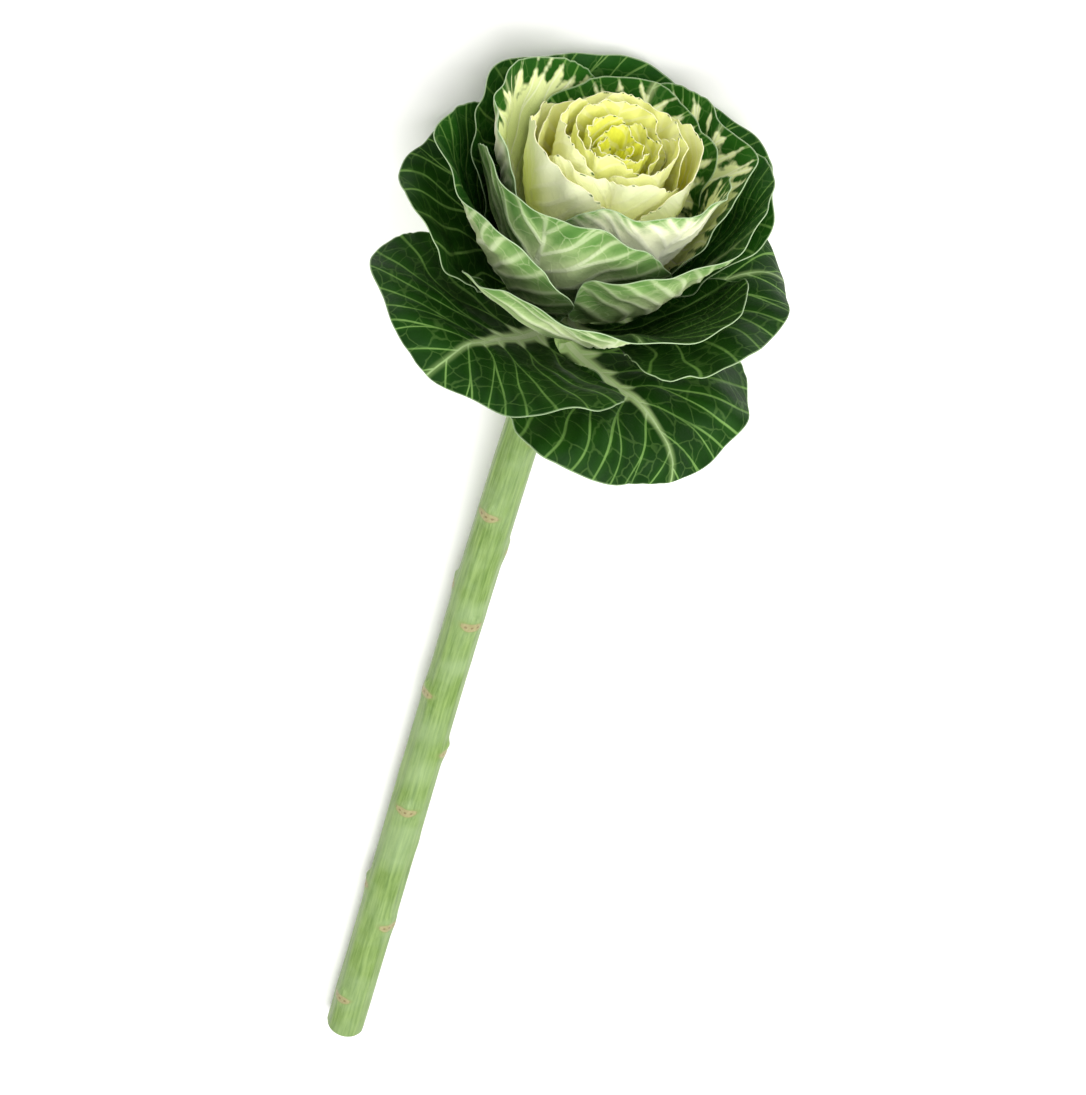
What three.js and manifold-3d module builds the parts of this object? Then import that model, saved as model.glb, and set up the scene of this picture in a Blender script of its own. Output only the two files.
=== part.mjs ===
// Ornamental kale: one cut stem with its rose-like head of leaves, lying on a table.
// Millimetres, +Z up, table at z = 0. The stem lies along Y and the head faces -Y.
// Leaves are numbered from the lowest and outermost (0) to the heart of the head.
import * as THREE from "three";
import { mergeVertices } from "three/addons/utils/BufferGeometryUtils.js";
import Module from "manifold-3d";

const wasm = await Module();
wasm.setup();

// Driving dimensions of the stem
const STEM_LENGTH = 390; // from the cut end to the lowest leaf
const STEM_TOP = 34.3; // how far the stem runs on inside the head
const STEM_CUT_RADIUS = 8.4;
const STEM_NECK_RADIUS = 7.4;
const STEM_TIP_RADIUS = 6.3;
const STEM_SIDES = 14;
const STEM_RINGS = 30;
const SCAR_COUNT = 17; // leaf scars left where the lower leaves were stripped
const SCAR_HEIGHT = 0.9;
const SCAR_LENGTH = 5;
const SCAR_HALF_ANGLE = 0.75;
const SCAR_FIRST = 1.2; // of the lowest scar from the cut end, in scar spacings
const SCAR_LAST = 1.3; // of the head from the highest scar, in scar spacings
const SCAR_PLAY = 0.3;

// How the cut stem lies: the neck bends up so that the head looks a little upwards
const HEAD_TILT = THREE.MathUtils.degToRad(13);
const HEAD_HEIGHT = 33; // of the lowest leaf's root above the table
const CUT_END_HEIGHT = 8.19; // of the stem's centre line
const CUT_END_SLOPE = THREE.MathUtils.degToRad(1.5);

// The order of the leaves round the stem
const GOLDEN_ANGLE = THREE.MathUtils.degToRad(137.5);
const FIRST_LEAF_ANGLE = THREE.MathUtils.degToRad(132.5);
const ANGLE_PLAY = 0.14;
const OUTER_LEAVES = 6;
const CUP_LEAVES = 5;
const EDGED_LEAVES = 4;
const HEART_LEAVES = 15;
const LEAF_COUNT = OUTER_LEAVES + CUP_LEAVES + EDGED_LEAVES + HEART_LEAVES;

// The nested leaf layers: how key leaves bend from root to tip, as the four control points of a
// curve (distance from the head's axis, height above the lowest root), how far each wraps round, how
// far its margin waves, and how square its tip is
const LAYERS = [
  { leaf: 0, wrap: 1.04, ruffle: 3.6, shoulder: 0,
    bend: [[7.9, 0], [30, 0], [61, 24], [80, 2]] },
  { leaf: 3, wrap: 1.16, ruffle: 2.8, shoulder: 0.1,
    bend: [[7.6, 8], [32, 8.5], [58, 44], [77, 40]] },
  { leaf: 6, wrap: 1.22, ruffle: 1.6, shoulder: 0.25,
    bend: [[7.4, 15.7], [32, 16.2], [50, 60], [64, 78]] },
  { leaf: 8, wrap: 1.2, ruffle: 1.1, shoulder: 0.3,
    bend: [[7.2, 20], [31, 20.6], [46, 64], [56, 88]] },
  { leaf: 10, wrap: 1.2, ruffle: 0.8, shoulder: 0.35,
    bend: [[7.1, 24.4], [28, 25], [41, 65], [48.5, 92]] },
  { leaf: 14, wrap: 1.24, ruffle: 0.6, shoulder: 0.4,
    bend: [[6.9, 32.2], [22.5, 32.6], [33.5, 68], [38.5, 95]] },
  { leaf: 15, wrap: 1.28, ruffle: 0.5, shoulder: 0.45,
    bend: [[4.6, 38], [20, 39], [31.5, 66], [29.8, 92]] },
  { leaf: 17, wrap: 1.34, ruffle: 0.4, shoulder: 0.45,
    bend: [[4.2, 41], [17.5, 41.6], [27.6, 68], [25.8, 93]] },
  { leaf: 22, wrap: 1.55, ruffle: 0.35, shoulder: 0.45,
    bend: [[3, 48], [11.6, 48.7], [18.6, 71], [16.6, 93]] },
  { leaf: 29, wrap: 2.1, ruffle: 0.2, shoulder: 0.45,
    bend: [[1, 55.7], [4, 59], [4.8, 74], [3.6, 89]] },
];
const LAYER_PLAY = 0.06; // how far a leaf may sit from its even place between its neighbours
const REACH_PLAY = 0.05; // how much longer or shorter than its layer a leaf may be
const WRAP_PLAY = 0.08; // how much wider or narrower

// The unevenness that all layers share: full at the rims, none at the roots
const SWELL = 0.9;
const SWELL_RADIUS = 52; // the distance from the axis that the size above is for
const SWELL_LOW = 20;
const SWELL_HIGH = 88;

// One leaf: a round blade on a short clasping root, with a rib that stands out of its back
const BLADE = 0.8;
const HEART_BLADE = 0.65;
const BLADE_CENTRE = 0.56; // of the length, from the root
const MARGIN_TURN = 0.64 * Math.PI; // from the tip round to where the blade narrows to the root
const ROOT_HALF_ANGLE = 0.45;
const SCALLOP = 0.025; // in and out waves of the outline, as a share of the leaf's size
const SCALLOP_WAVES = 7;
const RUFFLE_WAVES = 5;
const RIB_HEIGHT = 2.4;
const RIB_HALF_WIDTH = 0.1;
const LEAF_RAYS = 20;
const LEAF_RINGS = 6;
const HEART_RAYS = 14;
const HEART_RINGS = 4;

// The growing point inside the heart, which the pale leaves stand out of
const CORE_PROFILE = [[0, 34.7], [6.2, 34.7], [6, 40], [4.8, 49], [3.5, 57.5], [0, 62]];
const CORE_SIDES = 12;
const CORE_TURN = 0.25;
const FUSE_TOLERANCE = 0.02;

// Where the table presses the lower leaves flat
const PRESS_TOP = 30;
const PRESS_DEPTH = 60;

const TONES = {
  stem: { color: 0x9db377, roughness: 0.55 },
  outer: { color: 0x2c5a2a, roughness: 0.45 },
  cup: { color: 0x3c6a38, roughness: 0.45 },
  edged: { color: 0xa9bf8a, roughness: 0.5 },
  heart: { color: 0xf0efb8, roughness: 0.55 },
};

// A repeatable draw between -1 and 1 for a leaf or scar
function draw(index, kind) {
  const value = Math.sin(index * 127.1 + kind * 311.7) * 43758.5453;
  return 2 * (value - Math.floor(value)) - 1;
}

const mix = THREE.MathUtils.lerp;
const smoothstep = THREE.MathUtils.smoothstep;

// The layer at a place between the key leaves
function layerAt(place) {
  const last = LAYERS.length - 1;
  const after = LAYERS.findIndex((key, n) => n === last || (n > 0 && key.leaf >= place));
  const [low, high] = [LAYERS[after - 1], LAYERS[after]];
  const share = (place - low.leaf) / (high.leaf - low.leaf);
  const bend = low.bend.map((point, n) => point.map((v, m) => mix(v, high.bend[n][m], share)));
  const between = (value) => mix(low[value], high[value], share);
  return { bend, wrap: between("wrap"), ruffle: between("ruffle"), shoulder: between("shoulder") };
}

// The point and the outward slope of a layer's bend at t, from root (0) to tip (1)
function bendAt(bend, t) {
  const u = 1 - t;
  const weights = [u * u * u, 3 * u * u * t, 3 * u * t * t, t * t * t];
  const slopes = [-3 * u * u, 3 * u * u - 6 * u * t, 6 * u * t - 3 * t * t, 3 * t * t];
  const sum = (share, axis) => share.reduce((total, s, n) => total + s * bend[n][axis], 0);
  const along = new THREE.Vector2(sum(slopes, 0), sum(slopes, 1)).normalize();
  return { radius: sum(weights, 0), height: sum(weights, 1), out: [along.y, -along.x] };
}

// The unevenness that all layers share, so that nested leaves wave together and stay apart
function swell(radius, angle, height) {
  const size = SWELL * smoothstep(height, SWELL_LOW, SWELL_HIGH) * Math.pow(radius / SWELL_RADIUS, 0.7);
  const across =
    1.5 * Math.sin(3 * angle + 0.7) +
    1.1 * Math.sin(5 * angle + 2.1 + height / 40) +
    0.7 * Math.sin(8 * angle + 4 - height / 25);
  const along = 1.4 * Math.sin(2 * angle + 1.3) + 1.1 * Math.sin(4 * angle + 0.4);
  return [radius + size * across, height + size * along];
}

// Height of a point of the head above the table, and the same point pushed up by the table
const TABLE_UP = new THREE.Vector3(0, Math.cos(HEAD_TILT), Math.sin(HEAD_TILT));
const heightAbove = (point) => HEAD_HEIGHT + point.dot(TABLE_UP);

function pressed(point) {
  const sunk = PRESS_TOP - heightAbove(point);
  if (sunk <= 0) return point;
  const given = PRESS_DEPTH * (1 - Math.exp(-sunk / PRESS_DEPTH));
  return point.addScaledVector(TABLE_UP, sunk - Math.min(given, PRESS_TOP - BLADE / 2));
}

// The middle surface of leaf number index: side runs from -1 to 1 across the blade, reach from 0 at
// the root to 1 at the margin
function leafSurface(index) {
  const place = index + LAYER_PLAY * draw(index, 1);
  const layer = layerAt(THREE.MathUtils.clamp(place, 0, LEAF_COUNT - 1));
  const middle = FIRST_LEAF_ANGLE + index * GOLDEN_ANGLE + ANGLE_PLAY * draw(index, 2);
  const length = 1 + REACH_PLAY * draw(index, 3);
  const wrap = layer.wrap * (1 + WRAP_PLAY * draw(index, 4));
  const phase = Math.PI * draw(index, 5);
  return (side, reach) => {
    const turn = side * MARGIN_TURN;
    const scallop = 1 + SCALLOP * Math.sin(SCALLOP_WAVES * turn + phase) * reach * (1 - side ** 4);
    const across = mix((side * ROOT_HALF_ANGLE) / wrap, Math.sin(turn) * scallop, reach);
    const square = 1 + layer.shoulder * Math.sin(turn) ** 2 * (Math.cos(turn) > 0 ? 1 : 0);
    const tip = BLADE_CENTRE + (1 - BLADE_CENTRE) * Math.cos(turn) * square * scallop;
    const along = tip * reach;
    const { radius, height, out } = bendAt(layer.bend, along * length);
    const wave = layer.ruffle * along * reach ** 3 * Math.sin(RUFFLE_WAVES * turn + 2 * phase);
    const angle = middle + wrap * across;
    const [swollen, raised] = swell(radius + wave * out[0], angle, height + wave * out[1]);
    return pressed(new THREE.Vector3(swollen * Math.cos(angle), swollen * Math.sin(angle), raised));
  };
}

// How far the rib stands out of a leaf's back
const ribHeight = (side, reach) =>
  RIB_HEIGHT * (1 - reach) ** 1.5 * Math.exp(-((side / RIB_HALF_WIDTH) ** 2));

// A closed blade round a middle surface, split into triangles alike on both faces
function leafGeometry(index, rays, rings, blade) {
  const surface = leafSurface(index);
  const [step, columns] = [1e-3, rays + 1];
  const points = [];
  for (const face of [-1, 1]) {
    for (let ring = 0; ring <= rings; ring++) {
      for (let ray = 0; ray <= rays; ray++) {
        const [side, reach] = [(2 * ray) / rays - 1, ring / rings];
        const across = surface(side + step, reach).sub(surface(side - step, reach));
        const along = surface(side, reach + step).sub(surface(side, reach - step));
        const outward = across.cross(along).normalize();
        const rib = face > 0 ? ribHeight(side, reach) : 0;
        const point = surface(side, reach).addScaledVector(outward, face * (blade / 2 + rib));
        point.addScaledVector(TABLE_UP, Math.max(0, -heightAbove(point)));
        points.push(point);
      }
    }
  }
  const at = (face, ring, ray) => (face * (rings + 1) + ring) * columns + ray;
  const triangles = [];
  const quad = (a, b, c, d) => triangles.push(a, b, c, a, c, d);
  for (let ring = 0; ring < rings; ring++) {
    for (let ray = 0; ray < rays; ray++) {
      const corners = [[ring, ray], [ring, ray + 1], [ring + 1, ray + 1], [ring + 1, ray]];
      const [a, b, c, d] = corners.map(([n, m]) => at(1, n, m));
      const [e, f, g, h] = corners.map(([n, m]) => at(0, n, m));
      quad(a, b, c, d);
      triangles.push(e, g, f, e, h, g);
    }
    quad(at(1, ring, 0), at(1, ring + 1, 0), at(0, ring + 1, 0), at(0, ring, 0));
    quad(at(0, ring, rays), at(0, ring + 1, rays), at(1, ring + 1, rays), at(1, ring, rays));
  }
  for (let ray = 0; ray < rays; ray++) {
    quad(at(0, 0, ray), at(0, 0, ray + 1), at(1, 0, ray + 1), at(1, 0, ray));
    quad(at(1, rings, ray), at(1, rings, ray + 1), at(0, rings, ray + 1), at(0, rings, ray));
  }
  return new THREE.BufferGeometry().setFromPoints(points).setIndex(triangles);
}

// Joining solids
function solidOf(geometry) {
  const bare = new THREE.BufferGeometry().setAttribute("position", geometry.getAttribute("position"));
  const merged = mergeVertices(bare.setIndex(geometry.index), 1e-4);
  const triVerts = new Uint32Array(merged.index.array);
  return new wasm.Manifold(
    new wasm.Mesh({ numProp: 3, vertProperties: merged.getAttribute("position").array, triVerts }),
  );
}

function geometryOf(solid) {
  const mesh = solid.getMesh();
  return new THREE.BufferGeometry()
    .setAttribute("position", new THREE.BufferAttribute(mesh.vertProperties, 3))
    .setIndex(new THREE.BufferAttribute(mesh.triVerts, 1));
}

// The pale heart: its leaves fused to the growing point that they stand on
function heartGeometry() {
  const profile = CORE_PROFILE.map(([radius, height]) => new THREE.Vector2(radius, height));
  const core = new THREE.LatheGeometry(profile, CORE_SIDES).rotateX(Math.PI / 2).rotateZ(CORE_TURN);
  let heart = solidOf(core);
  for (let index = LEAF_COUNT - HEART_LEAVES; index < LEAF_COUNT; index++) {
    heart = heart.add(solidOf(leafGeometry(index, HEART_RAYS, HEART_RINGS, HEART_BLADE)));
  }
  const bodies = heart.decompose().sort((one, other) => other.volume() - one.volume());
  return geometryOf(bodies[0].simplify(FUSE_TOLERANCE)); // without the slivers shut in between the roots
}

// The stem's centre line, in the head's own frame: a bend from the cut end, then straight up
function stemLine(head) {
  const toHead = head.matrix.clone().invert();
  const fall = HEAD_HEIGHT - CUT_END_HEIGHT;
  const cutEnd = new THREE.Vector3(0, Math.sqrt(STEM_LENGTH ** 2 - fall ** 2), CUT_END_HEIGHT);
  const lead = new THREE.Vector3(0, -Math.cos(CUT_END_SLOPE), Math.sin(CUT_END_SLOPE));
  const afterCut = cutEnd.clone().addScaledVector(lead, STEM_LENGTH / 3).applyMatrix4(toHead);
  cutEnd.applyMatrix4(toHead);
  const root = new THREE.Vector3();
  const beforeHead = new THREE.Vector3(0, 0, -STEM_LENGTH / 3);
  const line = new THREE.CurvePath();
  line.add(new THREE.CubicBezierCurve3(cutEnd, afterCut, beforeHead, root));
  line.add(new THREE.LineCurve3(root, new THREE.Vector3(0, 0, STEM_TOP)));
  return line;
}

// How far the stem's surface stands out at a leaf scar
function scarHeight(along, angle) {
  let raised = 0;
  for (let scar = 0; scar < SCAR_COUNT; scar++) {
    const spacings = SCAR_FIRST + scar + SCAR_PLAY * draw(scar, 7);
    const place = (STEM_LENGTH * spacings) / (SCAR_COUNT - 1 + SCAR_FIRST + SCAR_LAST);
    const turn = FIRST_LEAF_ANGLE - (SCAR_COUNT - scar) * GOLDEN_ANGLE;
    const aside = Math.atan2(Math.sin(angle - turn), Math.cos(angle - turn)) / SCAR_HALF_ANGLE;
    const above = (along - place) / SCAR_LENGTH;
    raised = Math.max(raised, SCAR_HEIGHT * Math.exp(-(aside ** 2) - above ** 2));
  }
  return raised;
}

function stemGeometry(head) {
  const line = stemLine(head);
  const total = line.getLength();
  const rod = new THREE.CylinderGeometry(1, 1, total, STEM_SIDES, STEM_RINGS);
  rod.deleteAttribute("normal");
  rod.deleteAttribute("uv");
  const stem = mergeVertices(rod, 1e-4);
  const place = stem.getAttribute("position");
  const side = new THREE.Vector3(1, 0, 0);
  for (let n = 0; n < place.count; n++) {
    const along = THREE.MathUtils.clamp(place.getY(n) + total / 2, 0, total);
    const angle = Math.atan2(place.getZ(n), place.getX(n)) + Math.PI / STEM_SIDES;
    const share = Math.hypot(place.getX(n), place.getZ(n));
    const neck = Math.min(along / STEM_LENGTH, 1);
    const inside = Math.max(0, along - STEM_LENGTH) / STEM_TOP;
    const plain = mix(mix(STEM_CUT_RADIUS, STEM_NECK_RADIUS, neck), STEM_TIP_RADIUS, inside);
    const radius = share * (plain + (share > 0.5 ? scarHeight(along, angle) : 0));
    const up = line.getTangentAt(along / total).cross(side).negate();
    const point = line.getPointAt(along / total);
    point.addScaledVector(side, radius * Math.cos(angle)).addScaledVector(up, radius * Math.sin(angle));
    place.setXYZ(n, point.x, point.y, point.z);
  }
  return stem;
}

// The plant, with the head's frame tilted up from the table
const part = new THREE.Group();
const head = new THREE.Group();
head.position.set(0, 0, HEAD_HEIGHT);
head.rotation.x = Math.PI / 2 - HEAD_TILT;
head.updateMatrix();
part.add(head);

function addPiece(name, geometry, tone) {
  const material = new THREE.MeshStandardMaterial({ ...TONES[tone], metalness: 0, name: tone });
  const piece = new THREE.Mesh(geometry, material);
  piece.name = name;
  head.add(piece);
}

addPiece("stem", stemGeometry(head), "stem");
for (let index = 0; index < LEAF_COUNT - HEART_LEAVES; index++) {
  const kind = index < OUTER_LEAVES ? "outer" : index < OUTER_LEAVES + CUP_LEAVES ? "cup" : "edged";
  const name = `${kind}_leaf_${String(index + 1).padStart(2, "0")}`;
  addPiece(name, leafGeometry(index, LEAF_RAYS, LEAF_RINGS, BLADE), kind);
}
addPiece("heart", heartGeometry(), "heart");

// The origin is on the table, under the middle of the whole part
const bounds = new THREE.Box3().setFromObject(part, true);
const middle = bounds.getCenter(new THREE.Vector3());
head.position.sub(new THREE.Vector3(middle.x, middle.y, bounds.min.z));

export default part;
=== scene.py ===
import math

import bpy
import numpy as np
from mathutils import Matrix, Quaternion, Vector


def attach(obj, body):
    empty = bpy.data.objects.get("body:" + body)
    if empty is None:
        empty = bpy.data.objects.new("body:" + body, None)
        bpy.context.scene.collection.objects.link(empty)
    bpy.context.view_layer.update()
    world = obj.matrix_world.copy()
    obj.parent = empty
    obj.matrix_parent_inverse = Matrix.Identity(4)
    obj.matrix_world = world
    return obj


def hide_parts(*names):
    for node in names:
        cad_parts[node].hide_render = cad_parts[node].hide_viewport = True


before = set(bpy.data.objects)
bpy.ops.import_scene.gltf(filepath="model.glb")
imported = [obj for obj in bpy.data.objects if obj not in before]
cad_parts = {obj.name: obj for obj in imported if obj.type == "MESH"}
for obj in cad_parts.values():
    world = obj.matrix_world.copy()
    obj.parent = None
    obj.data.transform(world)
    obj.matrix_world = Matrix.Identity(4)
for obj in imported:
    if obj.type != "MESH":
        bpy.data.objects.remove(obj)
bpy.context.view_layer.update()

# Ornamental kale, cut and laid on a table: a thick stem and a head of nested leaves.
# The plant's own sizes are in millimetres and repeat the solids' driving sizes.
# Points of the head are first found in its own frame, with the head's axis as the third number.
MM = 0.001

# How the head lies
HEAD_ROOT = np.array([1.4557, -144.0375, 33.0])  # root of the lowest leaf, in the part's frame
HEAD_TILT = math.radians(13)
TABLE_UP = np.array([0.0, math.cos(HEAD_TILT), math.sin(HEAD_TILT)])  # the table's up in the head's frame
PRESS_TOP = 30.0
PRESS_DEPTH = 60.0
TABLE_GAP = 0.02  # so that no leaf lies in the table's own plane

# The order of the leaves, from the lowest (0) to the innermost
GOLDEN_ANGLE = math.radians(137.5)
FIRST_LEAF_ANGLE = math.radians(132.5)
ANGLE_PLAY = 0.14
LAYER_PLAY = 0.06
REACH_PLAY = 0.05
WRAP_PLAY = 0.08
OUTER_LEAVES = 6
CUP_LEAVES = 5
EDGED_LEAVES = 4
HEART_LEAVES = 15
FIRST_CUP = OUTER_LEAVES
FIRST_EDGED = FIRST_CUP + CUP_LEAVES
FIRST_HEART = FIRST_EDGED + EDGED_LEAVES
LEAF_COUNT = FIRST_HEART + HEART_LEAVES

# Key leaves: number, the bend from root to tip as four (distance from the axis, height) points,
# how far the blade wraps round the axis, how far its margin waves, and how square its tip is
KEY_LEAVES = [
    (0, ((7.9, 0), (30, 0), (61, 24), (80, 2)), 1.04, 3.6, 0),
    (3, ((7.6, 8), (32, 8.5), (58, 44), (77, 40)), 1.16, 2.8, 0.1),
    (6, ((7.4, 15.7), (32, 16.2), (50, 60), (64, 78)), 1.22, 1.6, 0.25),
    (8, ((7.2, 20), (31, 20.6), (46, 64), (56, 88)), 1.2, 1.1, 0.3),
    (10, ((7.1, 24.4), (28, 25), (41, 65), (48.5, 92)), 1.2, 0.8, 0.35),
    (14, ((6.9, 32.2), (22.5, 32.6), (33.5, 68), (38.5, 95)), 1.24, 0.6, 0.4),
    (15, ((4.6, 38), (20, 39), (31.5, 66), (29.8, 92)), 1.28, 0.5, 0.45),
    (17, ((4.2, 41), (17.5, 41.6), (27.6, 68), (25.8, 93)), 1.34, 0.4, 0.45),
    (22, ((3, 48), (11.6, 48.7), (18.6, 71), (16.6, 93)), 1.55, 0.35, 0.45),
    (29, ((1, 55.7), (4, 59), (4.8, 74), (3.6, 89)), 2.1, 0.2, 0.45),
]

# What each repeatable draw sets
LAYER_DRAW = 1
ANGLE_DRAW = 2
LENGTH_DRAW = 3
WRAP_DRAW = 4
PHASE_DRAW = 5
SCAR_DRAW = 7

# One leaf's outline
BLADE = 0.8
HEART_BLADE = 0.65
BLADE_CENTRE = 0.56
MARGIN_TURN = 0.64 * math.pi
ROOT_HALF_ANGLE = 0.45
SCALLOP = 0.025
SCALLOP_WAVES = 7
RUFFLE_WAVES = 5
SCALLOP_FADE = 4  # power of the way from the midrib (0) to the root corner (1)
RUFFLE_KEEP = 3  # power of the reach from the root (0) to the rim (1)
RIB_HEIGHT = 2.4
RIB_HALF_WIDTH = 0.1
BEND_STEPS = np.linspace(0, 1.1, 200)  # past the tip, because some leaves outgrow their bend

# Waves that all layers share, so that nested leaves bend together and stay apart.
# Each is a size in millimetres, waves round the head, a start, and a pace along the height or radius.
SWELL = 0.9
SWELL_LOW = 20.0
SWELL_HIGH = 88.0
WAVE_RADIUS = 52.0  # the distance from the axis that the sizes are for
SWELL_OUT = ((1.5, 3, 0.7, 0), (1.1, 5, 2.1, 1 / 40), (0.7, 8, 4.0, -1 / 25))
SWELL_UP = ((1.4, 2, 1.3, 0), (1.1, 4, 0.4, 0))
SWELL_GROWTH = 0.7  # power of the distance from the axis
CRUMPLE = 0.85
CRUMPLE_GROWTH = 0.5
CRUMPLE_NEAR = 18.0
CRUMPLE_FAR = 55.0
CRUMPLE_OUT = ((0.6, 11, 1.7, 1 / 7), (0.45, 17, 2.9, -1 / 5), (0.5, 6, 0.4, 1 / 4.6))
CRUMPLE_UP = ((0.55, 7, 0, 1 / 4.4), (0.45, 13, 1.1, 1 / 7))

# Waves of a leaf's own margin and veins: a size, a pace, and how the leaf's phase shifts it
TOOTH_STRAY = ((0.45, 5.3, 1), (0.3, 11, 2))
LOBES = ((0.6, 4.7, 3), (0.4, 9.1, 5))
FRILLS = ((0.5, 8.3, 1), (0.35, 14.7, 4), (0.25, 23, -1))
VEINS_ASIDE = ((0.9, 1 / 13, 1), (0.3, 1 / 4.1, 2))
VEINS_AHEAD = ((2.2, 1 / 11, 5), (0.5, 1 / 3.9, 2))
VEINS_SWAY = ((1.3, 1 / 12, 3), (0.4, 1 / 3.7, 2))

# How closely a margin's details keep to the rim: powers of the reach from the root (0) to the rim (1)
TOOTH_KEEP = 12
LOBE_KEEP = 5
FRILL_KEEP = 6
ROLL_KEEP = 9
SHORTEST_TOOTH = 0.3  # of the longest
TOOTH_BLUNTNESS = 0.8

# What the fine leaves add to the solids' form
ROOT_SINK = 2.0  # how deep a root runs into the stem
ROOT_REACH = 0.05
THICKEST = 3.4  # of blade and rib together
MARGIN_BLADE = 0.32
FINE_BLADE = 0.7  # of the solids' blade
BLADE_RISE = 12.0  # from the margin to the full blade
RIB_TAPER = 1.5
VEIN_RIDGE = 0.28  # how far veins stand out of the underside
RIDGE_HALF_WIDTH = 1.5
RIDGE_RISE = (1.0, 20.0)  # millimetres from the margin
QUILT = 0.5  # how far the blade swells between the veins
QUILT_START = (0.1, 0.5)  # shares of the reach
QUILT_END = (0.9, 1.0)
LEAF_SMOOTHING = math.radians(50)
MARGIN_STEPS = 4  # looked at between two points of the rim

# Side veins leave the midrib at a slant, bend towards the tip and fork
VEIN_RISE = 0.5
VEIN_CURVE = 0.012
VEIN_SLANT = 0.85
FORK_START = 9.0
FORK_END = 26.0
STRAY_START = (8.0, 40.0)  # millimetres along the midrib

# The stem
STEM_LENGTH = 390.0
STEM_TOP = 34.3
STEM_CUT_RADIUS = 8.4
STEM_NECK_RADIUS = 7.4
STEM_TIP_RADIUS = 6.3
CUT_END_HEIGHT = 8.19
CUT_END_SLOPE = math.radians(1.5)
SCAR_COUNT = 17
SCAR_HEIGHT = 0.9
SCAR_LENGTH = 5.0
SCAR_HALF_ANGLE = 0.75
SCAR_FIRST = 1.2  # from the cut end to the lowest scar, in spacings of scars
SCAR_LAST = 1.3  # from the highest scar to the head
SCAR_PLAY = 0.3
STEM_SIDES = 72
STEM_ROWS = 420
CUT_ROWS = 12
CUT_BEVEL = 0.5
CUT_DISH = 0.5  # how far the cut face sinks in the middle
SKIN_DEPTH = 1.2  # added to depths on the cut face, so that it shows flesh up to its rim
BEVEL_ROWS = 3
TOP_ROWS = 4
SEAM_GAP = 0.005  # points closer than this are one
LINE_STEPS = 400
BUD_HEIGHT = 0.9  # of the resting bud above each scar
BUD_HALF_WIDTH = 1.7
BUD_HALF_LENGTH = 1.9
BUD_ABOVE = 4.2
SCAR_END = (0.15, 0.05)  # nearness at which a scar's mark ends, before the next scar is the nearest
OFF_SCAR = 10.0  # added to what is outside the mark
STEM_RIBS = ((0.12, 9, 0, 1 / 60), (0.1, 5, 0, -1 / 35))
STEM_SMOOTHING = math.radians(40)

# What the stem's skin shows
STREAK_WIDTH = 1.1
STREAK_SHARE = 0.06  # a streak's width over its length
STREAK_SPAN = (0.3, 0.7)
STREAK_RELIEF = 0.6
BLOOM_SIZE = 22.0
BLOOM_SPAN = (0.42, 0.68)
BLOOM_SHARE = 0.5
CORK_GRAIN = 0.9
SCAR_MARK_WIDTH = 4.8  # half of the corky mark's width
SCAR_MARK_HEIGHT = 2.2
SCAR_DROOP = 0.03
SCAR_RAGGED = 0.5
SCAR_INSIDE = (1.35, 0.95)
SCAR_AROUND = (2.4, 1.1)
SCAR_BREAK = (0.5, 0.12)
CORK_SHARE = 0.9
SCAR_RIM_SHARE = 0.7
VEIN_END_SHARE = 0.7
CUT_SKIN = (0.9, 1.1)  # millimetres under the skin
CUT_WOOD = (5.2, 7.2)
STEM_TONES = {
    "fibre": "#56742F", "skin": "#86A058", "bloom": "#93A97B",
    "scar_rim": "#7A8A4E", "dark_cork": "#7E7448", "pale_cork": "#B0A87C", "vein_end": "#6B5534",
    "wood": "#E9E9CF", "pale_wood": "#F5F3E4", "pith": "#B9C68E",
}
STEM_GLOSS_SPAN = (0.35, 0.7)
STEM_GLOSS = (0.4, 0.58)
STEM_BUMP = 0.35
STEM_RELIEF = 0.4

# The growing point inside the heart: heights and radii
CORE_HEIGHTS = (34.7, 35.2, 40, 49, 57.5, 62)
CORE_RADII = (0, 6.2, 6, 4.8, 3.5, 0)
CORE_MARGIN = 30.0  # taken as its distance from any margin
CORE_SIDES = 32
CORE_RINGS = 24


# Small helpers

def draw(index, kind):
    """A repeatable draw between -1 and 1 for a leaf, a tooth or a scar, by the usual hash of a sine."""
    value = np.sin(index * 127.1 + kind * 311.7) * 43758.5453
    return 2 * (value - np.floor(value)) - 1


def mix(low, high, share):
    return low + (high - low) * share


def smoothstep(value, low, high):
    share = np.clip((value - low) / (high - low), 0, 1)
    return share * share * (3 - 2 * share)


def unit(vectors):
    return vectors / np.maximum(np.linalg.norm(vectors, axis=-1, keepdims=True), 1e-12)


def shared_waves(angle, distance, waves):
    """Waves that run round the head and along a distance."""
    return sum(size * np.sin(turns * angle + start + pace * distance) for size, turns, start, pace in waves)


def own_waves(distance, phase, waves):
    """Waves along a distance that start elsewhere in each leaf."""
    return sum(size * np.sin(pace * distance + shift * phase) for size, pace, shift in waves)


def from_head(points):
    """Points of the head's own frame, in the part's frame."""
    tilt_sin, tilt_cos = math.sin(HEAD_TILT), math.cos(HEAD_TILT)
    across, up, axis = points[..., 0], points[..., 1], points[..., 2]
    turned = np.stack([across, up * tilt_sin - axis * tilt_cos, up * tilt_cos + axis * tilt_sin], -1)
    return HEAD_ROOT + turned


# The shape of a leaf

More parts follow.
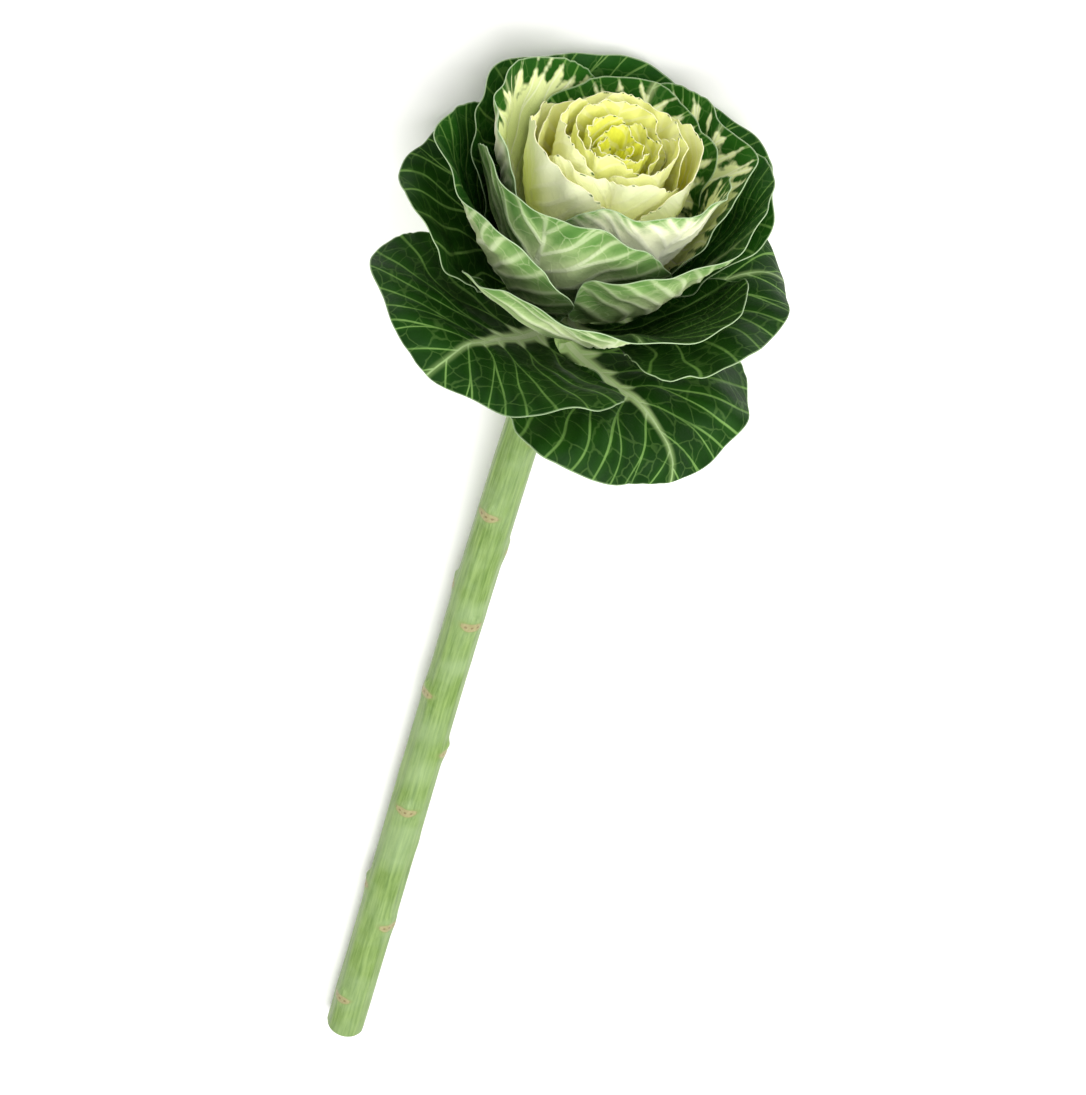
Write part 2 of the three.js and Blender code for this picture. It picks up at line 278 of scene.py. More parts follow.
def leaf_shape(index):
    """The bend, wrap and play that set one leaf apart from its neighbours."""
    place = np.clip(index + LAYER_PLAY * draw(index, LAYER_DRAW), 0, LEAF_COUNT - 1)
    numbers, bends, wraps, ruffles, shoulders = zip(*KEY_LEAVES)
    bends = np.array(bends, float)
    bend = [[np.interp(place, numbers, bends[:, point, axis]) for axis in (0, 1)] for point in range(4)]
    return {
        "bend": np.array(bend),
        "wrap": np.interp(place, numbers, wraps) * (1 + WRAP_PLAY * draw(index, WRAP_DRAW)),
        "ruffle": np.interp(place, numbers, ruffles),
        "shoulder": np.interp(place, numbers, shoulders),
        "middle": FIRST_LEAF_ANGLE + index * GOLDEN_ANGLE + ANGLE_PLAY * draw(index, ANGLE_DRAW),
        "length": 1 + REACH_PLAY * draw(index, LENGTH_DRAW),
        "phase": math.pi * draw(index, PHASE_DRAW),
    }


def bend_at(bend, t):
    """Distance from the axis, height and outward slope of a bend, from root (0) to tip (1)."""
    u = 1 - t
    weights = np.stack([u**3, 3 * u * u * t, 3 * u * t * t, t**3], -1)
    slopes = np.stack([-3 * u * u, 3 * u * u - 6 * u * t, 6 * u * t - 3 * t * t, 3 * t * t], -1)
    along = unit(slopes @ bend)
    place = weights @ bend
    return place[..., 0], place[..., 1], along[..., 1], -along[..., 0]


def bend_length(bend, t):
    """Length of a bend from its root to t."""
    radius, height, _, _ = bend_at(bend, BEND_STEPS)
    lengths = np.hypot(np.diff(radius), np.diff(height))
    return np.interp(t, BEND_STEPS, np.concatenate([[0], np.cumsum(lengths)]))


def swell(radius, angle, height):
    """The wide unevenness that the solids have too."""
    size = SWELL * smoothstep(height, SWELL_LOW, SWELL_HIGH) * (radius / WAVE_RADIUS) ** SWELL_GROWTH
    out = shared_waves(angle, height, SWELL_OUT)
    up = shared_waves(angle, height, SWELL_UP)
    return radius + size * out, height + size * up


def crumple(radius, angle, height):
    """Finer dents and bulges, none of them near the roots."""
    from_root = np.hypot(radius, height - SWELL_LOW)
    size = CRUMPLE * (radius / WAVE_RADIUS) ** CRUMPLE_GROWTH
    size = size * smoothstep(from_root, CRUMPLE_NEAR, CRUMPLE_FAR)
    out = shared_waves(angle, height, CRUMPLE_OUT)
    up = shared_waves(angle, radius, CRUMPLE_UP)
    return radius + size * out, height + size * up


def pressed(points):
    """Points of the head, pushed up where the table is under them."""
    sunk = PRESS_TOP - (HEAD_ROOT[2] + points @ TABLE_UP)
    given = PRESS_DEPTH * (1 - np.exp(-np.maximum(sunk, 0) / PRESS_DEPTH))
    push = np.maximum(sunk, 0) - np.minimum(given, PRESS_TOP - BLADE / 2)
    return points + push[..., None] * TABLE_UP


def leaf_points(shape, side, reach, outline, lift):
    """The leaf's middle surface, and its plan in millimetres across and along the midrib."""
    turn = side * MARGIN_TURN
    scallops = SCALLOP * np.sin(SCALLOP_WAVES * turn + shape["phase"])
    scallop = 1 + (scallops + outline) * (1 - side**SCALLOP_FADE) * reach
    across = mix(side * ROOT_HALF_ANGLE / shape["wrap"], np.sin(turn) * scallop, reach)
    square = 1 + shape["shoulder"] * np.sin(turn) ** 2 * (np.cos(turn) > 0)
    along = (BLADE_CENTRE + (1 - BLADE_CENTRE) * np.cos(turn) * square * scallop) * reach
    radius, height, out_radius, out_height = bend_at(shape["bend"], along * shape["length"])
    plan_across = shape["wrap"] * across * radius
    plan_along = bend_length(shape["bend"], along * shape["length"])
    ruffle = np.sin(RUFFLE_WAVES * turn + 2 * shape["phase"])
    wave = shape["ruffle"] * along * reach**RUFFLE_KEEP * ruffle + lift
    angle = shape["middle"] + shape["wrap"] * across
    radius, height = swell(radius + wave * out_radius, angle, height + wave * out_height)
    radius, height = crumple(radius, angle, height)
    radius = radius - ROOT_SINK * (1 - smoothstep(reach, 0, ROOT_REACH))
    points = np.stack([radius * np.cos(angle), radius * np.sin(angle), height], -1)
    return pressed(points), plan_across, plan_along


def margin_detail(shape, side, reach, margin):
    """Teeth and lobes as shares of the blade, frill and roll in millimetres, and a count of teeth."""
    turn = side * MARGIN_TURN
    phase = shape["phase"]
    tooth_count = margin["teeth"] * (side + 1) / 2 + own_waves(turn, phase, TOOTH_STRAY)
    tooth = 1 - np.abs(2 * (tooth_count % 1) - 1)
    uneven = mix(SHORTEST_TOOTH, 1, draw(np.floor(tooth_count), phase) / 2 + 0.5)
    outline = margin["tooth"] * uneven * tooth**TOOTH_BLUNTNESS * reach**TOOTH_KEEP
    outline = outline + margin["lobe"] * own_waves(turn, phase, LOBES) * reach**LOBE_KEEP
    lift = margin["frill"] * own_waves(turn, phase, FRILLS) * reach**FRILL_KEEP
    lift = lift + margin["roll"] * reach**ROLL_KEEP
    return outline, lift, tooth_count


def strayed_plan(across, along, phase):
    """The plan moved about a little, so that veins are uneven and none is a drawn curve."""
    size = smoothstep(along, *STRAY_START)
    aside = own_waves(along, phase, VEINS_ASIDE)
    ahead = own_waves(along, phase, VEINS_AHEAD) + own_waves(across, phase, VEINS_SWAY)
    return across + size * aside, along + size * ahead


def vein_distance(across, along, spacing):
    """Millimetres to the nearest side vein of the plan."""
    out = np.abs(across)
    step = (along - VEIN_RISE * out) / (1 + VEIN_CURVE * out) / spacing + 0.5 * (across < 0)
    fork = 0.5 * smoothstep(out, FORK_START, FORK_END)
    first = np.abs(step % 1 - 0.5)
    second = np.abs((step - fork) % 1 - 0.5)
    return np.minimum(first, second) * spacing * VEIN_SLANT


def nearest_margin(points, tooth_count):
    """Millimetres from each point to the margin, and the tooth count at the nearest place on it."""
    columns = points.shape[1]
    places = np.arange(columns)
    dense = np.linspace(0, columns - 1, MARGIN_STEPS * columns)
    margin = np.stack([np.interp(dense, places, points[-1, :, axis]) for axis in range(3)], -1)
    counts = np.interp(dense, places, tooth_count[-1])
    flat = points.reshape(-1, 3)
    squared = (flat**2).sum(1)[:, None] + (margin**2).sum(1)[None, :] - 2 * flat @ margin.T
    nearest = squared.argmin(1)
    distance = np.linalg.norm(flat - margin[nearest], axis=1)
    return distance.reshape(points.shape[:2]), counts[nearest].reshape(points.shape[:2])


# Making meshes

def start_grid(name, columns, rows):
    """A flat grid from -1 to 1, and the order that sorts its points into rows."""
    bpy.ops.object.select_all(action="DESELECT")
    bpy.ops.mesh.primitive_grid_add(x_subdivisions=columns, y_subdivisions=rows, size=2)
    piece = bpy.context.object
    piece.name = name
    piece.data.name = name
    flat = points_of(piece)
    order = np.lexsort((flat[:, 0].round(6), flat[:, 1].round(6)))
    shape = (rows + 1, columns + 1)
    return piece, order, flat[order, 0].reshape(shape), flat[order, 1].reshape(shape)


def points_of(piece):
    flat = np.empty(len(piece.data.vertices) * 3)
    piece.data.vertices.foreach_get("co", flat)
    return flat.reshape(-1, 3)


def place_points(piece, points):
    """Moves the mesh's points, given in the part's frame in metres."""
    piece.data.vertices.foreach_set("co", np.ascontiguousarray(points).reshape(-1))
    piece.data.update()


def unsorted(order, rows):
    """Grid values by row, put back in the order of the mesh's points."""
    flat = rows.reshape(len(order), -1)
    back = np.empty_like(flat)
    back[order] = flat
    return back


def keep_attributes(piece, order, marks):
    """Keeps named numbers at each point for the materials."""
    for name, values in marks.items():
        attribute = piece.data.attributes.new(name, "FLOAT", "POINT")
        attribute.data.foreach_set("value", unsorted(order, values).reshape(-1))


def give_thickness(piece, order, thickness):
    """Turns a sheet into a closed blade whose thickness, in millimetres, varies."""
    group = piece.vertex_groups.new(name="thickness")
    shares = unsorted(order, thickness)[:, 0] / THICKEST
    for number, share in enumerate(shares):
        group.add([number], float(share), "REPLACE")
    bpy.ops.object.modifier_add(type="SOLIDIFY")
    solidify = piece.modifiers[-1]
    solidify.thickness = THICKEST * MM
    solidify.offset = -1
    solidify.vertex_group = group.name
    solidify.material_offset = 1
    solidify.material_offset_rim = 2
    bpy.ops.object.modifier_apply(modifier=solidify.name)
    piece.vertex_groups.clear()


def weld(piece):
    """Joins the seam and the ends of a rolled grid, with its faces outwards."""
    bpy.ops.object.mode_set(mode="EDIT")
    bpy.ops.mesh.select_all(action="SELECT")
    bpy.ops.mesh.remove_doubles(threshold=SEAM_GAP * MM)
    bpy.ops.mesh.normals_make_consistent(inside=False)
    bpy.ops.object.mode_set(mode="OBJECT")


def rest_on_table(piece):
    """Keeps every point of a piece above the table."""
    points = points_of(piece)
    points[:, 2] = np.maximum(points[:, 2], TABLE_GAP * MM)
    place_points(piece, points)


def hand_in(piece, node):
    """Attaches the piece to the body it moves with, and hides the solid it stands for."""
    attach(piece, "root")
    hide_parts(node)


# Materials

def colour(code):
    """An sRGB hex colour as linear red, green, blue and alpha."""
    parts = [int(code[n:n + 2], 16) / 255 for n in (1, 3, 5)]
    linear = [part / 12.92 if part <= 0.04045 else ((part + 0.055) / 1.055) ** 2.4 for part in parts]
    return (*linear, 1.0)


def add(tree, kind, *inputs, sockets=None, **settings):
    """Adds a node with its settings, and gives its inputs, in order or by name, a value or a link."""
    node = tree.nodes.new("ShaderNode" + kind)
    for name, value in settings.items():
        setattr(node, name, value)
    usable = [socket for socket in node.inputs if socket.enabled]
    pairs = list(zip(usable, inputs))
    pairs += [(node.inputs[name], value) for name, value in (sockets or {}).items()]
    for socket, value in pairs:
        if isinstance(value, bpy.types.Node):
            value = next(output for output in value.outputs if output.enabled)
        if isinstance(value, bpy.types.NodeSocket):
            tree.links.new(value, socket)
        else:
            socket.default_value = value
    return node


SMOOTH = {"interpolation_type": "SMOOTHSTEP"}  # for masks with soft ends


def new_material(name):
    material = bpy.data.materials.new(name)
    material.use_nodes = True
    material.node_tree.nodes.clear()
    return material, material.node_tree


# Plant tissue bends light a little less than glass does, and wax dulls what it throws back
LEAF_IOR = 1.42
LEAF_SPECULAR = 0.13
MARGIN_BLOTCH = 2.5
MARGIN_ROUGHNESS = 0.45

# Unevenness of leaf tissue: the size of each noise in millimetres, its detail and its roughness
LEAF_NOISES = {
    "clouds": (16.0, 3.0, 0.5),
    "mottle": (3.5, 4.0, 0.6),
    "blotch": (6.0, 2.5, 0.55),
    "stray": (4.0, 2.0, 0.5),
}
LEAF_NOISE_STEP = 900.0  # from the noise of the first leaf to that of the last, so that no two are alike
NET_STRAY = (2.6, 2.6, 0.0)
NET_UNEVENNESS = 0.9
NET_CORE = 0.25  # of a line's width
FINE_NET = 0.36  # of the net's own size
FINE_NET_LINE = 0.8
VEIN_TAPER = (2.0, 42.0)  # millimetres from the midrib
VEIN_TAPER_WIDTHS = (1.9, 0.45)  # of the vein's own half width
WEDGE_FADING = (0.5, 1.25)  # of the pale wedge on the midrib, as shares of its length
VEIN_FADING = (0.35, 0.6)  # of the clouds
FADED_VEIN = 0.45
CREAM_START = 1.0  # millimetres from the margin
CREAM_CLOUDS = (0.45, 0.75)
YOUNG_AGES = (0.55, 1.0)
EDGE_SOFT = 0.35
EDGE_CORE = 0.4
SPECK_WIDTH = (0.15, 0.06)  # of a tooth
SPECK_DEPTH = (0.85, 0.35)  # millimetres from the margin
SPECK_CHANCE = (0.3, 0.6)
NET_RELIEF = 0.4  # of the veins' relief
FINE_NET_RELIEF = 0.25
LEAF_RELIEF = 0.5
WAX_CLOUDS = (0.3, 0.75)
WAX_DULLING = 0.16


def leaf_marks(tree, look):
    """What a leaf's colour and relief follow: its plan, margin, noises, veins and the net between them."""
    names = ("across", "along", "age", "margin", "tooth_count")
    marks = {name: add(tree, "Attribute", attribute_name=name).outputs["Fac"] for name in names}
    marks["out"] = add(tree, "Math", marks["across"], operation="ABSOLUTE")
    layer = add(tree, "Math", marks["age"], LEAF_NOISE_STEP, operation="MULTIPLY")
    place = add(tree, "CombineXYZ", marks["across"], marks["along"], layer)
    for name, (size, detail, roughness) in LEAF_NOISES.items():
        marks[name] = add(tree, "TexNoise", sockets={
            "Vector": place, "Scale": 1 / size, "Detail": detail, "Roughness": roughness})
    stray = marks["stray"].outputs["Color"]
    strayed = add(tree, "VectorMath", stray, NET_STRAY, place, operation="MULTIPLY_ADD")
    marks["net"] = net_lines(tree, strayed, look["net"], look["net_line"])
    marks["fine_net"] = net_lines(tree, strayed, look["net"] * FINE_NET, look["net_line"] * FINE_NET_LINE)
    marks["line"], marks["band"] = vein_lines(tree, marks, look)
    return marks


def net_lines(tree, place, size, width):
    """Lines of the small meshes between veins: size and line width in millimetres."""
    cells = add(tree, "TexVoronoi", feature="DISTANCE_TO_EDGE", sockets={
        "Vector": place, "Scale": 1 / size, "Randomness": NET_UNEVENNESS})
    return add(tree, "MapRange", cells, width / size, NET_CORE * width / size, 0.0, 1.0, **SMOOTH)


def vein_lines(tree, marks, look):
    """Masks of a leaf's veins: their lines, and the soft band beside them."""
    out, along = marks["out"], marks["along"]
    left = add(tree, "Math", marks["across"], 0.0, operation="LESS_THAN")
    rise = add(tree, "Math", out, -VEIN_RISE, along, operation="MULTIPLY_ADD")
    spread = add(tree, "Math", out, VEIN_CURVE, 1.0, operation="MULTIPLY_ADD")
    climb = add(tree, "Math", rise, spread, operation="DIVIDE")
    count = add(tree, "Math", climb, look["spacing"], operation="DIVIDE")
    step = add(tree, "Math", left, 0.5, count, operation="MULTIPLY_ADD")
    fork = add(tree, "MapRange", out, FORK_START, FORK_END, 0.0, 0.5, **SMOOTH)
    forked = add(tree, "Math", step, fork, operation="SUBTRACT")
    distances = []
    for branch in (step, forked):
        part = add(tree, "Math", branch, operation="FRACT")
        aside = add(tree, "Math", part, 0.5, operation="SUBTRACT")
        near = add(tree, "Math", aside, operation="ABSOLUTE")
        distances.append(add(tree, "Math", near, look["spacing"] * VEIN_SLANT, operation="MULTIPLY"))
    side_vein = add(tree, "Math", *distances, operation="MINIMUM")
    widths = [share * look["vein"] for share in VEIN_TAPER_WIDTHS]
    half_width = add(tree, "MapRange", out, *VEIN_TAPER, *widths)
    soft_width = add(tree, "Math", half_width, look["vein_blur"], operation="ADD")
    side_line = add(tree, "MapRange", side_vein, soft_width, half_width, 0.0, 1.0, **SMOOTH)
    rib_width = add(tree, "MapRange", along, 0.0, look["rib_length"], look["rib"], look["vein"])
    rib_soft = add(tree, "Math", rib_width, look["vein_blur"], operation="ADD")
    rib_line = add(tree, "MapRange", out, rib_soft, rib_width, 0.0, 1.0, **SMOOTH)
    line = add(tree, "Math", side_line, rib_line, operation="MAXIMUM")
    nearest = add(tree, "Math", side_vein, out, operation="MINIMUM")
    band = add(tree, "MapRange", nearest, look["band"], 0.0, 0.0, 1.0, **SMOOTH)
    return line, band


def pale_share(tree, marks, look):
    """Where the tissue is pale: past a ragged depth from the margin, and in a wedge along the midrib."""
    flame = add(tree, "Math", marks["band"], look["flame"], marks["margin"], operation="MULTIPLY_ADD")
    ragged = add(tree, "Math", marks["blotch"], look["ragged"], flame, operation="MULTIPLY_ADD")
    start, end = look["green_depth"] - look["green_blur"], look["green_depth"] + look["green_blur"]
    inside = add(tree, "MapRange", ragged, start, end, 0.0, 1.0, **SMOOTH)
    reach = add(tree, "MapRange", marks["along"], 0.0, look["flush_length"], look["feather"], 0.0)
    feather = add(tree, "Math", reach, marks["band"], operation="MULTIPLY")
    aside = add(tree, "Math", marks["out"], feather, operation="SUBTRACT")
    wedge = add(tree, "MapRange", marks["along"], 0.0, look["flush_length"], look["flush_width"], 0.0)
    core = add(tree, "Math", wedge, look["flush_core"], operation="MULTIPLY")
    edge = add(tree, "Math", wedge, look["flush_soft"], operation="ADD")
    flush = add(tree, "MapRange", aside, edge, core, 0.0, 1.0, **SMOOTH)
    fading = [share * look["flush_length"] for share in WEDGE_FADING]
    fade = add(tree, "MapRange", marks["along"], *fading, 1.0, look["flush_end"])
    faded = add(tree, "Math", flush, fade, operation="MULTIPLY")
    return add(tree, "Math", inside, faded, operation="MAXIMUM")


def green_tissue(tree, marks, look):
    """Green, lighter in clouds and beside the veins, with veins that fade here and there."""
    green = add(tree, "Mix", marks["clouds"], colour(look["deep"]), colour(look["bright"]), data_type="RGBA")
    band_share = add(tree, "Math", marks["band"], look["band_share"], operation="MULTIPLY")
    green = add(tree, "Mix", band_share, green, colour(look["beside_vein"]), data_type="RGBA")
    net_share = add(tree, "Math", marks["net"], look["net_share"], operation="MULTIPLY")
    green = add(tree, "Mix", net_share, green, colour(look["vein_colour"]), data_type="RGBA")
    faded = FADED_VEIN * look["line_share"]
    fading = add(tree, "MapRange", marks["clouds"], *VEIN_FADING, faded, look["line_share"])
    line_share = add(tree, "Math", marks["line"], fading, operation="MULTIPLY")
    return add(tree, "Mix", line_share, green, colour(look["vein_colour"]), data_type="RGBA")


def cream_tissue(tree, marks, look):
    """Cream, deeper yellow towards the root and in young leaves. In the heart leaves the darker yellow
    towards the root is partly their own colour and partly painted shade of the recesses between them.
    """
    root = colour(look["cream_root"])
    # Darker towards the root: in the heart leaves this is partly painted shade of the recesses between them.
    depth = add(tree, "MapRange", marks["margin"], CREAM_START, look["cream_fall"], 0.0, 1.0, **SMOOTH)
    cream = add(tree, "Mix", depth, colour(look["cream_rim"]), root, data_type="RGBA")
    youth = add(tree, "MapRange", marks["age"], *YOUNG_AGES, 0.0, look["youth"], **SMOOTH)
    cream = add(tree, "Mix", youth, cream, colour(look["young"]), data_type="RGBA")
    line = add(tree, "Math", marks["line"], look["cream_line"], operation="MULTIPLY")
    cream = add(tree, "Mix", line, cream, colour(look["cream_vein"]), data_type="RGBA")
    cloud = add(tree, "MapRange", marks["clouds"], *CREAM_CLOUDS, 0.0, look["cream_cloud"])
    return add(tree, "Mix", cloud, cream, root, data_type="RGBA")


def margin_tissue(tree, tissue, marks, look):
    """Adds the thin pale line of the margin and a dark speck on some tooth tips."""
    margin = marks["margin"]
    start, end = look["edge"] + EDGE_SOFT, look["edge"] * EDGE_CORE
    edge = add(tree, "MapRange", margin, start, end, 0.0, look["edge_share"], **SMOOTH)
    tissue = add(tree, "Mix", edge, tissue, colour(look["edge_colour"]), data_type="RGBA")
    tooth = add(tree, "Math", marks["tooth_count"], operation="FRACT")
    off_tip = add(tree, "Math", tooth, 0.5, operation="SUBTRACT")
    off_tip = add(tree, "Math", off_tip, operation="ABSOLUTE")
    at_tip = add(tree, "MapRange", off_tip, *SPECK_WIDTH, 0.0, look["speck"], **SMOOTH)
    at_rim = add(tree, "MapRange", margin, *SPECK_DEPTH, 0.0, 1.0, **SMOOTH)
    own_tooth = add(tree, "Math", marks["tooth_count"], operation="FLOOR")
    own_tooth = add(tree, "Math", marks["age"], LEAF_NOISE_STEP, own_tooth, operation="MULTIPLY_ADD")
    chance = add(tree, "TexWhiteNoise", own_tooth, noise_dimensions="1D")
    chosen = add(tree, "MapRange", chance, *SPECK_CHANCE, 0.0, 1.0)
    speck = add(tree, "Math", at_tip, at_rim, operation="MULTIPLY")
    speck = add(tree, "Math", speck, chosen, operation="MULTIPLY")
    return add(tree, "Mix", speck, tissue, colour(look["speck_colour"]), data_type="RGBA")


def leaf_relief(tree, marks, look):
    """Relief of the veins, the nets and a fine grain of the skin."""
    vein = look["vein_relief"]
    relief = add(tree, "Math", marks["line"], vein, operation="MULTIPLY")
    relief = add(tree, "Math", marks["net"], NET_RELIEF * vein, relief, operation="MULTIPLY_ADD")
    relief = add(tree, "Math", marks["fine_net"], FINE_NET_RELIEF * vein, relief, operation="MULTIPLY_ADD")
    relief = add(tree, "Math", marks["mottle"], look["grain"], relief, operation="MULTIPLY_ADD")
    return add(tree, "Bump", sockets={
        "Strength": look["bump"], "Distance": LEAF_RELIEF * MM, "Height": relief})


def leaf_material(name, look):
    """Living leaf under a thin wax: green to a chosen depth from the margin, pale inside, branching veins."""
    material, tree = new_material(name)
    marks = leaf_marks(tree, look)
    green = green_tissue(tree, marks, look)
    cream = cream_tissue(tree, marks, look)
    tissue = add(tree, "Mix", pale_share(tree, marks, look), green, cream, data_type="RGBA")
    wax = add(tree, "MapRange", marks["mottle"], *WAX_CLOUDS, look["gloss"], look["gloss"] + WAX_DULLING)
    shader = add(tree, "BsdfPrincipled", sockets={
        "Base Color": margin_tissue(tree, tissue, marks, look),
        "Roughness": wax,
        "IOR": LEAF_IOR,
        "Specular IOR Level": LEAF_SPECULAR,
        "Normal": leaf_relief(tree, marks, look),
    })
    add(tree, "OutputMaterial", shader)
    return material


def margin_material(name, dull, clear):
    """Edge of a blade, where the green tissue stops and the clear skin shows as a thin pale line."""
    material, tree = new_material(name)
    place = add(tree, "TexCoord").outputs["Object"]
    scale = 1 / (MARGIN_BLOTCH * MM)
    blotch = add(tree, "TexNoise", sockets={"Vector": place, "Scale": scale, "Detail": 2.0})
    tone = add(tree, "Mix", blotch, colour(dull), colour(clear), data_type="RGBA")
    shader = add(tree, "BsdfPrincipled", sockets={
        "Base Color": tone, "Roughness": MARGIN_ROUGHNESS, "IOR": LEAF_IOR})
    add(tree, "OutputMaterial", shader)
    return material


# Leaf tissue of each face: lengths in millimetres, shares from 0 to 1.
# Outer leaf, upper face: deep satin green with fine pale veins and a pale midrib that feathers out.
GREEN_FACE = {
    "spacing": 13.0, "vein": 0.13, "vein_blur": 0.36, "rib": 1.2, "rib_length": 60.0, "band": 3.0,
    "net": 7.5, "net_line": 0.38, "net_share": 0.14, "line_share": 0.7, "band_share": 0.3,
    "flame": 0.0, "ragged": 0.0, "green_depth": 400.0, "green_blur": 5.0,
    "flush_width": 4.0, "flush_length": 58.0, "flush_core": 0.3, "flush_soft": 2.2, "flush_end": 0.25,
    "feather": 6.0,
    "deep": "#071F04", "bright": "#194109", "beside_vein": "#2A5714", "vein_colour": "#7FA657",
    "cream_rim": "#A6C678", "cream_root": "#C3DA9A", "cream_fall": 30.0, "cream_vein": "#E0EAC4",
    "cream_line": 0.6, "cream_cloud": 0.2, "young": "#D9E3BF", "youth": 0.0,
    "edge": 0.3, "edge_share": 0.65, "edge_colour": "#A2BB8E", "speck": 0.0, "speck_colour": "#2F5B1A",
    "vein_relief": -0.5, "bump": 0.45, "grain": 0.1, "gloss": 0.38,
}
# Cup leaf, upper face: a livelier green with a broader pale base.
CUP_FACE = {
    **GREEN_FACE, "deep": "#0B3007", "bright": "#245A14",
    "flush_width": 7.0, "flush_length": 66.0, "feather": 8.0,
}
# Underside of both: greyed by wax, pale towards the root, with broad whitish veins.
GREEN_BACK = {
    **GREEN_FACE, "vein": 0.26, "vein_blur": 1.0, "rib": 3.0, "band": 5.0, "net_share": 0.3,
    "line_share": 0.62, "band_share": 0.4, "flame": 9.0, "ragged": 20.0, "green_depth": 33.0,
    "green_blur": 18.0, "flush_width": 30.0, "flush_length": 64.0, "flush_core": 0.1, "feather": 10.0,
    "deep": "#41702F", "bright": "#6A9449", "beside_vein": "#8FB069", "vein_colour": "#CCDCA6",
    "cream_rim": "#A6C07C", "cream_root": "#CBDBA2", "cream_fall": 42.0, "cream_vein": "#E9F0CE",
    "cream_line": 0.6, "vein_relief": 0.8, "bump": 0.4, "gloss": 0.45,
}
# Edged leaf, upper face: cream that runs out into a green margin in ragged flames.
EDGED_FACE = {
    **GREEN_FACE, "spacing": 10.0, "band": 2.6, "flame": 7.0, "ragged": 24.0, "green_depth": 22.5,
    "green_blur": 2.6, "deep": "#0E350A", "bright": "#2B6514", "cream_rim": "#ECF2B4",
    "cream_root": "#E0EBA2", "cream_fall": 28.0, "cream_vein": "#F8FADE", "gloss": 0.42,
}
# Edged leaf, underside: nearly white, with a soft green margin.
EDGED_BACK = {
    **GREEN_BACK, "spacing": 10.0, "band": 3.2, "flame": 3.5, "ragged": 12.0, "green_depth": 12.0,
    "green_blur": 6.0, "line_share": 0.5, "band_share": 0.3, "flush_length": 40.0,
    "deep": "#4E7F38", "bright": "#7DAA52", "cream_rim": "#F6F9CC", "cream_root": "#FBFDE0",
    "cream_vein": "#FDFDEA", "cream_line": 0.35, "bump": 0.25,
}
# Heart leaf, upper face: cream that turns to a fresh yellow in the middle, with dark specks on its teeth. Its
# darker yellow towards the root is partly painted shade of the recesses between the leaves.
HEART_FACE = {
    **GREEN_FACE, "spacing": 6.5, "vein": 0.2, "vein_blur": 0.6, "rib_length": 30.0, "band": 1.8, "net": 3.6,
    "ragged": 0.8, "green_depth": 0.25, "green_blur": 0.45, "deep": "#8A963A", "bright": "#BFC25E",
    "beside_vein": "#CCCE74", "vein_colour": "#D8DA8A", "cream_rim": "#F9FBB8", "cream_root": "#E9E650",
    "cream_fall": 20.0, "cream_vein": "#FDFCDC", "cream_line": 0.3, "cream_cloud": 0.3, "young": "#E6E81E",
    "youth": 0.88, "edge": 0.2, "edge_share": 0.3, "edge_colour": "#FBFADC", "speck": 0.9,
    "vein_relief": -0.3, "bump": 0.3, "gloss": 0.46,
}
# Heart leaf, underside: paler than the face, with a darker yellow towards the root that is partly painted
# shade of the recesses.
HEART_BACK = {**HEART_FACE, "cream_rim": "#FAFDD4", "cream_root": "#F0F3AC", "vein_relief": 0.5}

# Margins: teeth round a leaf, their depth and the lobes' as shares of the blade,
# frill and roll in millimetres
MARGINS = {
    "outer": {"teeth": 24, "tooth": 0.012, "lobe": 0.02, "frill": 1.5, "roll": 0.6},
    "cup": {"teeth": 25, "tooth": 0.010, "lobe": 0.015, "frill": 1.1, "roll": 1.6},
    "edged": {"teeth": 28, "tooth": 0.014, "lobe": 0.02, "frill": 0.9, "roll": 1.2},
    "heart": {"teeth": 26, "tooth": 0.045, "lobe": 0.035, "frill": 0.8, "roll": 1.3},
}
LEAF_FACES = {"outer": GREEN_FACE, "cup": CUP_FACE, "edged": EDGED_FACE, "heart": HEART_FACE}
FINENESS = {"outer": (176, 44), "cup": (176, 44), "edged": (176, 44), "heart": (210, 26)}
GREEN_UNDERSIDE = leaf_material("kale_leaf_waxy_underside", GREEN_BACK)
GREEN_MARGIN = margin_material("kale_leaf_margin", "#93AC7E", "#AEC29A")

# Each leaf's face, underside and margin
LEAF_MATERIALS = {
    "outer": (leaf_material("kale_leaf_dark_green", GREEN_FACE), GREEN_UNDERSIDE, GREEN_MARGIN),
    "cup": (leaf_material("kale_leaf_cup_green", CUP_FACE), GREEN_UNDERSIDE, GREEN_MARGIN),
    "edged": (
        leaf_material("kale_leaf_green_edged", EDGED_FACE),
        leaf_material("kale_leaf_green_edged_underside", EDGED_BACK),
        GREEN_MARGIN,
    ),
    "heart": (
        leaf_material("kale_leaf_cream", HEART_FACE),
        leaf_material("kale_leaf_cream_underside", HEART_BACK),
        margin_material("kale_leaf_cream_margin", "#D9D69A", "#F4F2CF"),
    ),
}


# The leaves as pieces

def kind_of(index):
    if index < FIRST_CUP:
        return "outer"
    if index < FIRST_EDGED:
        return "cup"
    if index < FIRST_HEART:
        return "edged"
    return "heart"


